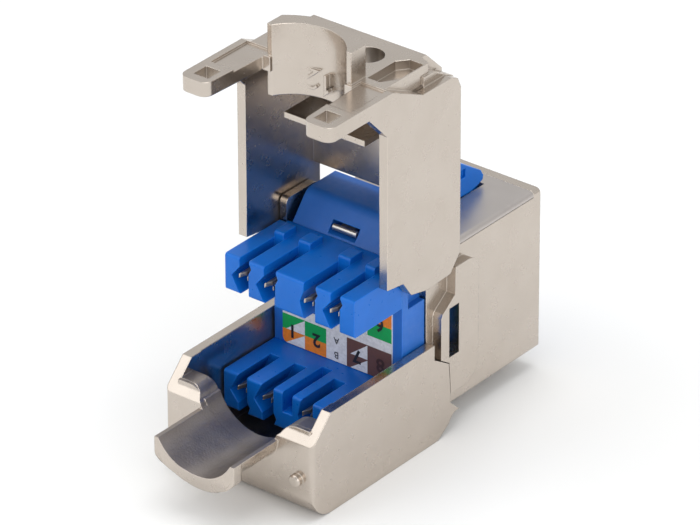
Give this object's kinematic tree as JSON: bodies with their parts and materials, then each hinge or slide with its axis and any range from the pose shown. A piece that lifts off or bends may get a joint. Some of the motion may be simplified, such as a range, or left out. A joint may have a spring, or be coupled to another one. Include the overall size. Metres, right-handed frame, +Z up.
{
  "type": "shielded keystone jack",
  "caption": "Shielded keystone jack for data cabling with a hinged cable cover standing open, blue wire combs behind it, a half round cable ladle and a square plug port.",
  "frame": {"origin": "on the underside of the lower shell, halfway between the tip of the cable ladle and the port face", "axes": "+Y from the cable end to the port face, +Z up, +X to the right as seen from the cable end"},
  "size_m": [0.0166, 0.0402, 0.0407],
  "materials": {
    "nickel_casting": "bright nickel plate",
    "blue_plastic": "semi gloss",
    "dark_plastic": "matte",
    "spring_steel": "satin",
    "tin_bronze": "tinned",
    "gold_plating": "bright",
    "board_green": "satin",
    "label_white": "matte"
  },
  "bodies": {
    "jack": {"front_housing": "nickel_casting", "top_plate": "nickel_casting", "lower_shell": "nickel_casting", "hinge_pin_left": "spring_steel", "hinge_pin_right": "spring_steel", "terminal_block": "blue_plastic", "upper_comb": "blue_plastic", "lower_comb": "blue_plastic", "port_insert": "blue_plastic", "contact_carrier": "dark_plastic", "circuit_board": "board_green", "wiring_label": "label_white", "ground_clip": "spring_steel", "shield_spring_left": "spring_steel", "shield_spring_right": "spring_steel", "upper_fork_1": "tin_bronze", "upper_fork_2": "tin_bronze", "upper_fork_3": "tin_bronze", "upper_fork_4": "tin_bronze", "lower_fork_1": "tin_bronze", "lower_fork_2": "tin_bronze", "lower_fork_3": "tin_bronze", "lower_fork_4": "tin_bronze", "port_contact_1": "gold_plating", "port_contact_2": "gold_plating", "port_contact_3": "gold_plating", "port_contact_4": "gold_plating", "port_contact_5": "gold_plating", "port_contact_6": "gold_plating", "port_contact_7": "gold_plating", "port_contact_8": "gold_plating"},
    "cover": {"hinged_cover": "nickel_casting"},
    "latch": {"keystone_latch": "blue_plastic"}
  },
  "joints": [
    {"name": "cover_hinge", "type": "hinge", "parent": "jack", "child": "cover", "pos_m": [0, 0.00435, 0.01785], "axis": [1, 0, 0], "range_deg": [0, 90]},
    {"name": "latch_flex", "type": "hinge", "parent": "jack", "child": "latch", "pos_m": [0, 0.01745, 0.0187], "axis": [1, 0, 0], "range_deg": [0, 7], "stiffness_Nm_per_rad": 0.37}
  ]
}
